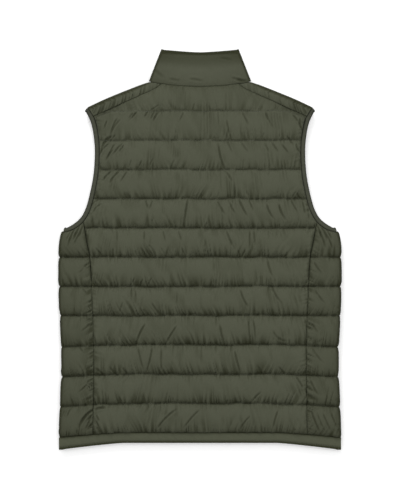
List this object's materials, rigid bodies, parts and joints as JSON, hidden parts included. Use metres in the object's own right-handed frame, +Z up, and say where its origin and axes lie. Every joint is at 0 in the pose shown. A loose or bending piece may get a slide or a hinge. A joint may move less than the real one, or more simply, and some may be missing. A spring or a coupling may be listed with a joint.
{
  "type": "puffer vest",
  "caption": "Sleeveless quilted puffer vest with a stand collar and a full front zip, zipped up and laid flat on its front with the back facing up.",
  "frame": {"origin": "middle of the outline on the surface that the vest lies on", "axes": "+X to the wearer's right-hand side as laid, seen from above at the right; +Y toward the collar; +Z up, out of the back"},
  "size_m": [0.5546, 0.7819, 0.031],
  "materials": {
    "shell": "satin",
    "trim": "matte",
    "zip_plastic": "matte",
    "zip_metal": "satin"
  },
  "bodies": {
    "vest": {"back_panel": "shell", "collar": "shell", "hem_band": "shell", "left_front_panel": "shell", "right_front_panel": "shell", "left_side_panel": "shell", "right_side_panel": "shell", "left_armhole_binding": "trim", "right_armhole_binding": "trim", "left_zip_tape": "trim", "right_zip_tape": "trim", "zip_chain": "zip_plastic", "zip_box": "zip_plastic", "zip_slider": "zip_metal"},
    "pull_tab": {"zip_pull": "zip_metal"}
  },
  "joints": [
    {"name": "pull_tab_hinge", "type": "hinge", "parent": "vest", "child": "pull_tab", "pos_m": [0, 0.30152, 0.00488], "axis": [1, 0, 0], "range_deg": [-12, 150]}
  ]
}
